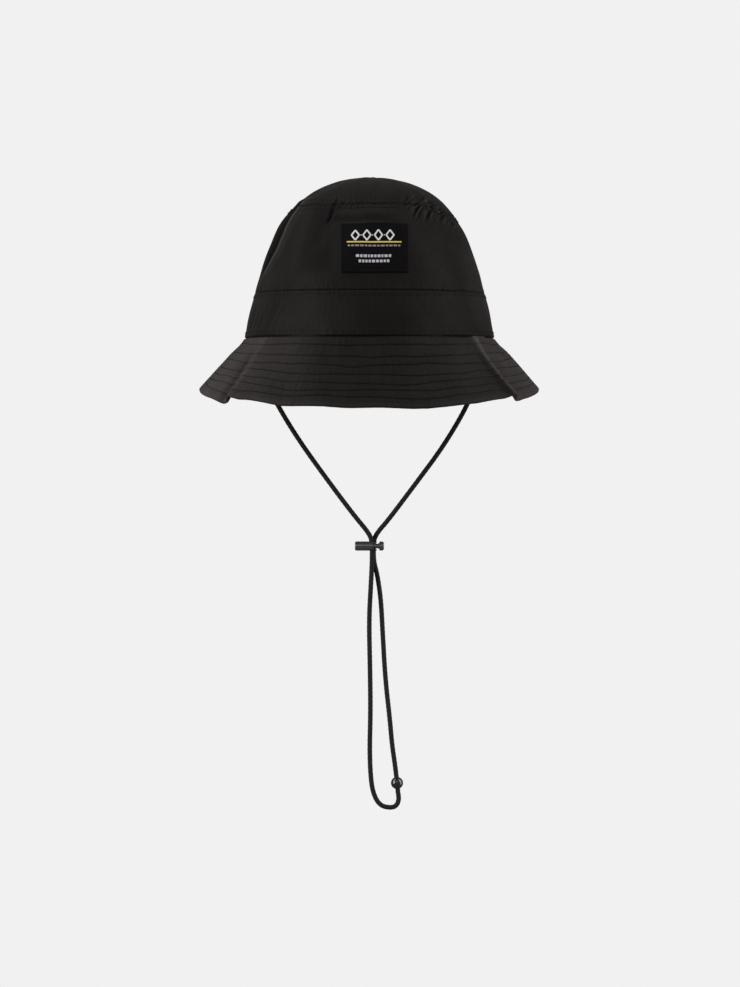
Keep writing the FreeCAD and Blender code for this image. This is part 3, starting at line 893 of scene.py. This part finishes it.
def brim_rows(start=-0.06):
    """Rows from just inside the crown to the edge. The first tuck the brim into the seam."""
    spots = [row * BRIM_LENGTH for row in BRIM_ROWS]
    return fine_rows(start * BRIM_LENGTH, BRIM_LENGTH, 0.95, [0.0] + spots) / BRIM_LENGTH


def hem_rows(angles):
    """The rolled edge of the brim and the turned cloth under it."""
    edge, normal = brim_point(angles, 1.0 + 0 * angles)
    before, _ = brim_point(angles, 0.985 + 0 * angles)
    outward = unit(edge - before)
    radius = BRIM_THICK / 2
    rows = [edge + normal * radius * (math.cos(turn) - 1) + outward * radius * math.sin(turn)
            for turn in np.radians(np.arange(20, 181, 20))]
    rows += [edge - normal * BRIM_THICK - outward * back for back in (1.5, 3.0, 4.5, 6.0)]
    return np.stack(rows)


def brim_top(end):
    angles = panel_angles(end)
    rows = brim_rows()
    hem = hem_rows(angles)
    points = np.concatenate([brim_point(angles, rows[:, None])[0], hem])
    along = -distances(points[:, 0])[:, None]
    item = grid_object(f"brim_top_{end}_cloth", points, angles * BRIM_RADIUS, along, CLOTH)
    item.data.flip_normals()
    share = np.concatenate([rows, np.ones(len(hem))])
    store_painted_light(item, brim_painted_light(*np.meshgrid(angles, share)))
    return put(item, "hat", "shell_cloth", f"brim_top_{end}")


def brim_under(end):
    angles = panel_angles(end)
    rows = brim_rows(start=-0.035)
    angle, t = np.meshgrid(angles, rows[rows < 0.93])
    points, normal = brim_point(angle, t, 0.0, detail=0)
    relief = brim_detail(angle, t)
    points = points - normal * (BRIM_THICK - 0.15 + 0.8 * relief)[..., None]
    item = grid_object(f"brim_under_{end}_cloth", points, angle * BRIM_RADIUS,
                       -t * BRIM_LENGTH, CLOTH)
    return put(item, "hat", "shell_cloth", f"brim_under_{end}")


def interlining(end):
    angle, t = np.meshgrid(panel_angles(end, COLUMNS // 2), np.linspace(0.03, 0.96, 24))
    points, _ = brim_point(angle, t, -BRIM_THICK / 2, detail=0)
    item = grid_object(f"brim_interlining_{end}_sheet", points, angle * BRIM_RADIUS,
                       t * BRIM_LENGTH, INTERLINING)
    return put(item, "hat", "interlining", f"brim_interlining_{end}")


# ---- stitches ----

def evenly(points, normals, spacing):
    """Evenly spaced distances along a line of points, and what reads the line there."""
    at = distances(points)

    def read(s):
        return read_line(s, at, points), unit(read_line(s, at, normals))

    return np.arange(0, at[-1] - spacing, spacing), read


def stitches(name, lines, slot, material=None, pitch=STITCH_PITCH, length=STITCH_LENGTH,
             radius=THREAD, seed=1):
    """Rows of separate stitches, each a short thread that dives into the cloth at its ends."""
    rng = np.random.default_rng(seed)
    rings, sides = 5, 6
    part = np.linspace(0, 1, rings)
    swell = np.array([0.35, 0.9, 1.0, 0.9, 0.35])
    rise = np.array([-0.9, 0.25, 0.55, 0.25, -0.9])
    turn = (np.arange(sides) * 2 * math.pi / sides)[:, None]
    all_points = []
    for points, normals in lines:
        stops, read = evenly(points, normals, pitch)
        stops = stops + rng.uniform(-0.12, 0.12, len(stops))
        place, up = read(stops[:, None] + part * length)
        way = unit(place[:, -1:] - place[:, :1])
        side = np.cross(up, way)
        side = side + rng.uniform(-0.05, 0.05, (len(stops), 1, 1)) * way
        middle = place + up * (rise * radius)[:, None]
        circle = up[:, :, None] * np.sin(turn) + side[:, :, None] * np.cos(turn)
        around = middle[:, :, None] + circle * (swell * radius)[:, None, None]
        all_points.append(around.reshape(-1, 3))
    points = np.concatenate(all_points)
    one = grid_faces(rings, sides, wrap=True)
    ends = [list(range(sides))[::-1], [(rings - 1) * sides + j for j in range(sides)]]
    faces = []
    for first in range(0, len(points), rings * sides):
        faces += (one + first).tolist()
        faces += [[first + v for v in end] for end in ends]
    item = new_object(name, points, faces, None, material or BLACK_THREAD)
    return put(item, "hat", slot)


def crown_line(s, offset=0.0, detail=1.0):
    """The line of a stitch row round the crown, with its normals."""
    return crown_point(whole_turn(COLUMNS * 2), s, offset, detail)


def brim_lines(offset, detail=1.0):
    """The lines of the brim's stitch rows, with their normals."""
    angles = whole_turn(COLUMNS * 2)
    return [brim_point(angles, t + row_wave(angles, i), offset, detail)
            for i, t in enumerate(BRIM_ROWS)]


def facing_inwards(lines):
    return [(points, -normals) for points, normals in lines]


SWEATBAND_FACE = -3.45


def sew_hat():
    crown_rows = {"tip_topstitch": TIP_SEAM - 5.0, "tip_edgestitch": TIP_SEAM - 1.3,
                  "band_topstitch": BAND_SEAM - 2.8, "brim_seam_topstitch": 3.6}
    for i, (name, s) in enumerate(crown_rows.items()):
        stitches(name, [crown_line(s, 0.02)], "shell_cloth", seed=i)
    stitches("brim_stitch_rows", brim_lines(0.05), "shell_cloth", seed=9)
    under = facing_inwards(brim_lines(-BRIM_THICK + 0.35, 0))
    stitches("brim_under_stitch_rows", under, "shell_cloth", seed=10)
    inner = facing_inwards(crown_line(s, SWEATBAND_FACE, 0) for s in (3.2, 30.5))
    stitches("sweatband_stitches", inner, "sweatband", seed=11)


# ---- labels ----

LABEL_S = (slant_at(LABEL_LOW[2]), slant_at(LABEL_HIGH[2]))
LABEL_RISE = LABEL_S[1] - LABEL_S[0] + 0.8
LABEL_MIDDLE = (LABEL_LOW[0] + LABEL_HIGH[0]) / 2 + 0.7
LABEL_WIDTH = LABEL_HIGH[0] - LABEL_LOW[0] + 1.4
LABEL_THICK = 1.0
BORDER_INSET = 2.4


def label_point(across, up, height):
    """A point on the label: across from its middle, up from its lower edge."""
    radius = CROWN_PROFILE(LABEL_S[0] + up)[..., 0]
    angle = np.arcsin((LABEL_MIDDLE + across) / radius)
    return crown_point(angle, LABEL_S[0] + up, height, detail=0)


def front_label():
    across = np.linspace(-LABEL_WIDTH / 2, LABEL_WIDTH / 2, 110)
    up = np.linspace(0, LABEL_RISE, 84)
    a, b = np.meshgrid(across, up)
    inside = np.minimum(np.minimum(a + LABEL_WIDTH / 2, LABEL_WIDTH / 2 - a),
                        np.minimum(b, LABEL_RISE - b))
    edge = np.clip(inside / 0.7, 0, 1)
    height = LABEL_THICK * np.sqrt(1 - (1 - edge) ** 2) + 0.05
    height -= 0.22 * bump(inside - BORDER_INSET, 0.45)
    height += 0.10 * bump(inside - 1.3, 0.8)
    points, _ = label_point(a, b, height)
    item = grid_object("front_label_cloth", points, a, b, LABEL)
    return put(item, "hat", "label", "front_label")


def label_border():
    low, high = BORDER_INSET, LABEL_RISE - BORDER_INSET
    right = LABEL_WIDTH / 2 - BORDER_INSET
    corners = [(-right, low), (right, low), (right, high), (-right, high), (-right, low)]
    lines = []
    for start, end in zip(corners, corners[1:]):
        a, b = np.linspace(start, end, 60).T
        lines.append(label_point(a, b, LABEL_THICK - 0.12))
    stitches("label_border_stitches", lines, "label", pitch=2.0, length=1.5, radius=0.2, seed=5)


def satin_stroke(path, width):
    """A raised satin stroke along a path on the label, as a grid of points."""
    path = np.array(path, float)
    at = distances(path)
    centre = read_line(np.linspace(0, at[-1], max(3, int(at[-1] / 0.35))), at, path)
    way = unit(np.gradient(centre, axis=0))
    side = np.stack([-way[:, 1], way[:, 0]], -1)
    profile = np.linspace(-1, 1, 7)
    flat = centre[:, None] + side[:, None] * (profile * width / 2)[:, None]
    height = LABEL_THICK + 0.02 + 0.16 * np.sqrt(1 - profile ** 2)
    points, _ = label_point(flat[..., 0], flat[..., 1], height)
    return points


def embroider(name, strokes, material):
    points = []
    faces = []
    first = 0
    for path, width in strokes:
        grid = satin_stroke(path, width)
        faces += grid_faces(grid.shape[0], grid.shape[1], first=first).tolist()
        points.append(grid.reshape(-1, 3))
        first += grid.shape[0] * grid.shape[1]
    item = new_object(name, np.concatenate(points), faces, None, material)
    return put(item, "hat", "label")


def dashes(left, right, up, width, seed, longest):
    """A row of short plain dashes of uneven length."""
    rng = np.random.default_rng(seed)
    strokes = []
    x = left
    while x < right - 0.8:
        end = min(x + rng.uniform(0.45, 1.0) * longest, right)
        strokes.append(([(x, up), (end, up)], width))
        x = end + 0.75
    return strokes


DIAMONDS = 4
DIAMOND_HALF_WIDE = 2.8
DIAMOND_HALF_HIGH = 3.9
DIAMOND_STEP = 8.3
FIRST_DIAMOND = -13.8


def label_motif():
    """A plain row of diamonds and dots over a line and rows of dashes."""
    top = LABEL_RISE
    middle = top - 10.2
    wide, high = DIAMOND_HALF_WIDE, DIAMOND_HALF_HIGH
    strokes = []
    for i in range(DIAMONDS):
        x = FIRST_DIAMOND + i * DIAMOND_STEP
        strokes.append(([(x - wide, middle), (x, middle + high), (x + wide, middle),
                         (x, middle - high), (x - wide, middle)], 1.2))
        if i < DIAMONDS - 1:
            strokes.append(([(x + 3.75, middle), (x + 4.55, middle)], 0.9))
    embroider("label_motif_white", strokes, WHITE_THREAD)
    embroider("label_line_yellow", [([(-19.9, top - 15.5), (19.3, top - 15.5)], 1.15)],
              YELLOW_THREAD)
    embroider("label_dashes_fine", dashes(-19.2, 18.4, top - 18.3, 1.3, 3, 3.4), DIM_THREAD)
    rows = dashes(-13.4, 12.4, top - 26.1, 2.2, 4, 2.4)
    rows += dashes(-11.4, 10.6, top - 30.0, 2.2, 6, 2.4)
    embroider("label_dashes_low", rows, PALE_THREAD)


CARE_COLUMNS = 24
CARE_LENGTH = 24.0


def care_label():
    """A ribbon sewn in along its upper edge, which hangs free below it."""
    low, high = cad_box("care_label")
    width = high[0] - low[0]
    a, g = np.meshgrid(np.linspace(-width / 2, width / 2, CARE_COLUMNS), np.linspace(0, 1, 30))
    y = high[1] + (low[1] - high[1]) * g - 0.4 + 0.5 * np.sin(g * 5) * g
    z = low[2] + (high[2] - low[2]) * g
    points = np.stack([a, y - 0.6 * g * (a / width) ** 2, z], -1)
    item = grid_object("care_label_ribbon", points, a, g * CARE_LENGTH, RIBBON)
    put(thicken(item, 0.3), "hat", "care_label", "care_label")


# ---- cord ----

CORD_WIDE = 3.2
CORD_ROUTE = [
    (-89, 0, -7), (-84, 0, -19), (-74.2, 0, -41), (-56.2, 0, -72), (-33, -0.2, -104.5),
    (-11.2, -1.1, -133.5), (-1.4, -1.6, -145), (1.9, -1.65, -151.5), (2, -1.65, -160.5),
    (1.9, -1.65, -168.5), (1.2, -1.6, -183), (-0.4, -1.3, -211), (0.5, -0.9, -251),
    (0.8, -0.6, -282), (0.1, -0.3, -307), (0.7, -0.1, -327), (2.5, 0, -341), (7.6, 0, -350.5),
    (15.5, 0, -352.4), (20.2, 0, -351), (22.2, 0, -346.2), (21.3, 0, -340.2), (19.6, 0.1, -323),
    (16.9, 0.3, -305), (15.3, 0.5, -286), (11.9, 0.9, -256), (9.9, 1.3, -221), (8.6, 1.6, -196),
    (5.8, 1.65, -177), (3.4, 1.65, -168.5), (3, 1.65, -160.5), (3.1, 1.65, -151.5),
    (6.3, 1.6, -145.3), (13.9, 1.1, -136.8), (34.4, 0.3, -109.5), (56, 0, -80.5), (75, 0, -48),
    (84.8, 0, -19.5), (89, 0, -7),
]


def smooth_route(points):
    """The cord's centreline in millimetres, read from one NURBS spline."""
    curve = bpy.data.curves.new("cord_route", "CURVE")
    curve.dimensions = "3D"
    spline = curve.splines.new("NURBS")
    spline.points.add(len(points) - 1)
    for target, (x, y, z) in zip(spline.points, points):
        target.co = (x * MM, y * MM, z * MM, 1.0)
    spline.order_u = 3
    spline.use_endpoint_u = True
    curve.resolution_u = 24
    item = add_object("cord_route", curve)
    mesh = bpy.data.meshes.new_from_object(item)
    line = np.array([v.co for v in mesh.vertices]) / MM
    bpy.data.objects.remove(item)
    bpy.data.meshes.remove(mesh)
    return line


def resample(line, spacing):
    """The line with evenly spaced points, and how far along it each of them lies."""
    at = distances(line)
    s = np.linspace(0, at[-1], int(at[-1] / spacing) + 1)
    return read_line(s, at, line), s


def tube(name, line, start, radius, material, relief, sides=30):
    """A tube round a line of points at the distances start. relief(turn, along) is the
    share by which its surface swells."""
    way = unit(np.gradient(line, axis=0))
    side = np.zeros_like(line)
    side[0] = unit(np.cross(way[0], (0, 1, 0)))
    for i in range(1, len(line)):
        side[i] = unit(side[i - 1] - way[i] * np.dot(side[i - 1], way[i]))
    other = np.cross(way, side)
    turn = np.arange(sides) * 2 * math.pi / sides
    swell = radius * (1 + relief(turn, start[:, None]))
    ring = side[:, None] * np.cos(turn)[:, None] + other[:, None] * np.sin(turn)[:, None]
    points = line[:, None] + ring * swell[..., None]
    j = np.tile(np.arange(sides), len(line) - 1)
    i = np.repeat(np.arange(len(line) - 1), sides)
    u = turn[j][:, None] + turn[1] * np.array([0, 1, 1, 0])
    v = start[i[:, None] + np.array([0, 0, 1, 1])]
    uv = np.stack([u, v], -1).reshape(-1, 2) * MM
    last = (len(line) - 1) * sides
    faces = grid_faces(len(line), sides, wrap=True).tolist()
    faces += [list(range(sides))[::-1], [last + k for k in range(sides)]]
    uv = np.vstack([uv, np.zeros((2 * sides, 2))])
    return new_object(name, points.reshape(-1, 3), faces, uv, material)


def braid_relief(turn, along):
    one = waves(along, BRAID_PITCH, BRAID_BUNDLES * turn)
    other = waves(-along, BRAID_PITCH, BRAID_BUNDLES * turn)
    return 0.12 + 0.035 * np.maximum(one, other)


def chin_cord():
    line, at = resample(smooth_route(CORD_ROUTE), 0.45)
    near = np.abs(line[:, 0]) < 8
    crossing = np.where(near[:-1] & (np.diff(np.sign(line[:, 2] - LOCK_Z)) != 0))[0]
    first, second = int(crossing[0]), int(crossing[-1])
    spans = {"chin_cord_left": (0, first + 1), "chin_cord_loop": (first, second + 1),
             "chin_cord_right": (second, len(line) - 1)}
    for name, (a, b) in spans.items():
        part, s = line[a:b + 1], at[a:b + 1]
        if name == "chin_cord_right":
            part, s = part[::-1], s[::-1]
        item = tube(name, part, s, CORD_WIDE / 2, CORD, braid_relief)
        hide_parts("chin_cord")
        if name == "chin_cord_loop":
            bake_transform(item)
        else:
            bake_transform(item)


WHIPPING_RADIUS = 2.0


def whipping_relief(turn, along):
    return 0.07 * np.abs(np.cos(along * math.pi / 0.55 + turn / 2))


def cord_whippings():
    """Each end of the cord is bound with thread below its tab."""
    for name, (end, below) in {"left": CORD_ROUTE[:2], "right": CORD_ROUTE[:-3:-1]}.items():
        end = np.array(end)
        s = np.linspace(-1.2, 3.2, 60)
        line = end + unit(np.array(below) - end) * s[:, None]
        item = tube(f"cord_whipping_{name}", line, s, WHIPPING_RADIUS, BLACK_THREAD,
                    whipping_relief, sides=24)
        put(item, "cord", "cord")


TAB_OUTLINE = 15.0


def cord_tabs():
    """A folded webbing tab, rounded where it turns over."""
    for name in ("left", "right"):
        low, high = cad_box(f"cord_tab_{name}")
        middle = (low[0] + high[0]) / 2
        thick = (high[0] - low[0]) / 2
        fold = [(thick * math.sin(turn), low[2] + thick - thick * math.cos(turn))
                for turn in np.radians(np.linspace(-90, 90, 13))]
        down = np.linspace(0, TAB_OUTLINE, 40)
        outline = Curve([(-thick, high[2])] + fold + [(thick, high[2])])(down)
        across = np.linspace(low[1], high[1], 20)
        ribs = 1 + 0.03 * waves(across, 1.1)
        points = np.stack(np.broadcast_arrays(middle + outline[:, :1] * ribs, across,
                                              outline[:, 1:]), -1)
        item = grid_object(f"cord_tab_{name}_webbing", points, across, down[:, None], WEBBING)
        put(thicken(item, 0.9), "hat", "webbing", f"cord_tab_{name}")


# ---- CAD parts that stay ----

def finish_cad_parts():
    looks = {"lock_barrel": LOCK_PLASTIC, "lock_plunger": LOCK_PLASTIC,
             "cord_bead": BEAD_PLASTIC, "lock_spring": STEEL}
    for node, material in looks.items():
        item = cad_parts[node]
        item.data.materials.clear()
        item.data.materials.append(material)
    for node in ("lock_barrel", "lock_plunger"):
        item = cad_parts[node]
        edge = item.modifiers.new("softened", "BEVEL")
        edge.width = 0.25 * MM
        edge.segments = 3
        edge.limit_method = "ANGLE"
        edge.angle_limit = math.radians(35)


# ---- stage ----

PALE = 0.8796  # the backdrop that the camera sees
AMBIENT = 0.15  # the even light from all round


def glowing(name, level):
    """An even glow that is clear from behind."""
    material = bpy.data.materials.new(name)
    material.use_nodes = True
    tree = material.node_tree
    tree.nodes.clear()
    out, light, clear, which, pick = [tree.nodes.new(f"ShaderNode{kind}") for kind in (
        "OutputMaterial", "Emission", "BsdfTransparent", "NewGeometry", "MixShader")]
    light.inputs[0].default_value = (level, level, level, 1.0)
    sources = (which.outputs["Backfacing"], light.outputs[0], clear.outputs[0])
    for i, source in enumerate(sources):
        tree.links.new(source, pick.inputs[i])
    tree.links.new(pick.outputs[0], out.inputs[0])
    return material


def make_floor():
    """A wide glowing floor that only the camera sees."""
    half = 30.0
    height = cad_low[2] - 0.12
    corners = [(x * half, y * half, height) for x, y in ((-1, -1), (1, -1), (1, 1), (-1, 1))]
    mesh = bpy.data.meshes.new("floor")
    mesh.from_pydata(corners, [], [(0, 1, 2, 3)])
    mesh.materials.append(glowing("pale_floor", PALE))
    floor = add_object("floor", mesh)
    floor.visible_diffuse = False
    floor.visible_glossy = False
    floor.visible_shadow = False


def make_world():
    world = bpy.data.worlds.new("studio")
    bpy.context.scene.world = world
    world.use_nodes = True
    tree = world.node_tree
    back = tree.nodes["Background"]
    ray = tree.nodes.new("ShaderNodeLightPath")
    strength = tree.nodes.new("ShaderNodeMapRange")
    strength.inputs["To Min"].default_value = AMBIENT
    strength.inputs["To Max"].default_value = PALE
    tree.links.new(ray.outputs["Is Camera Ray"], strength.inputs["Value"])
    tree.links.new(strength.outputs[0], back.inputs["Strength"])
    back.inputs["Color"].default_value = (1, 1, 1, 1)


# Place, width and height in metres, and power in watts. Each faces the hat's origin.
LIGHTS = {
    "top_softbox": ((0.0, 0.25, 1.7), 1.6, 1.2, 3.5),
    "left_softbox": ((-1.25, -0.15, 1.45), 0.9, 1.4, 13),
    "left_low_softbox": ((-1.7, -0.9, 0.2), 0.9, 1.4, 30),
    "right_softbox": ((1.6, -0.45, 1.1), 0.9, 1.6, 19),
    "right_low_softbox": ((1.8, -0.3, -0.1), 0.7, 1.8, 14),
    "front_softbox": ((0.0, -2.6, 0.9), 1.6, 1.2, 8),
}


def make_lights():
    for name, (place, width, height, power) in LIGHTS.items():
        light = bpy.data.lights.new(name, "AREA")
        light.shape = "RECTANGLE"
        light.size = width
        light.size_y = height
        light.energy = power
        item = add_object(name, light)
        item.location = place
        item.rotation_euler = (-Vector(place)).to_track_quat("-Z", "Y").to_euler()
        item.visible_camera = False


CAMERA_DISTANCE = 3.0
CAMERA_X = 0.0004
CAMERA_Z = -0.1166
VIEW_HEIGHT = 0.7403


def make_camera():
    data = bpy.data.cameras.new("camera")
    data.sensor_width = 36.0
    data.lens = data.sensor_width * CAMERA_DISTANCE / VIEW_HEIGHT
    data.clip_end = 100.0
    camera = add_object("camera", data)
    camera.location = (CAMERA_X, -CAMERA_DISTANCE, CAMERA_Z)
    camera.rotation_euler = (math.pi / 2, 0, 0)
    bpy.context.scene.camera = camera


# ---- whole scene ----

def build_hat():
    for end in ("front", "back"):
        side_panel(f"band_{end}", end, 0.0, BAND_SEAM)
        side_panel(f"upper_side_{end}", end, BAND_SEAM, TIP_SEAM)
        brim_top(end)
        brim_under(end)
        interlining(end)
    crown_tip()
    lining_tip()
    for node, low, high in (("lining_band", 1.5, BAND_SEAM),
                            ("lining_side", BAND_SEAM, TIP_SEAM)):
        inner_layer(node, low, high, LINING_DEPTH, LINING, "lining", LINING_THICK)
    inner_layer("sweatband", 1.5, 34.5, -2.2, SWEATBAND, "sweatband", 1.1)
    sew_hat()
    front_label()
    label_border()
    label_motif()
    care_label()
    cord_tabs()


bpy.context.scene.view_settings.view_transform = "Standard"
make_camera()
make_world()
make_lights()
make_floor()
chin_cord()
cord_whippings()
build_hat()
finish_cad_parts()
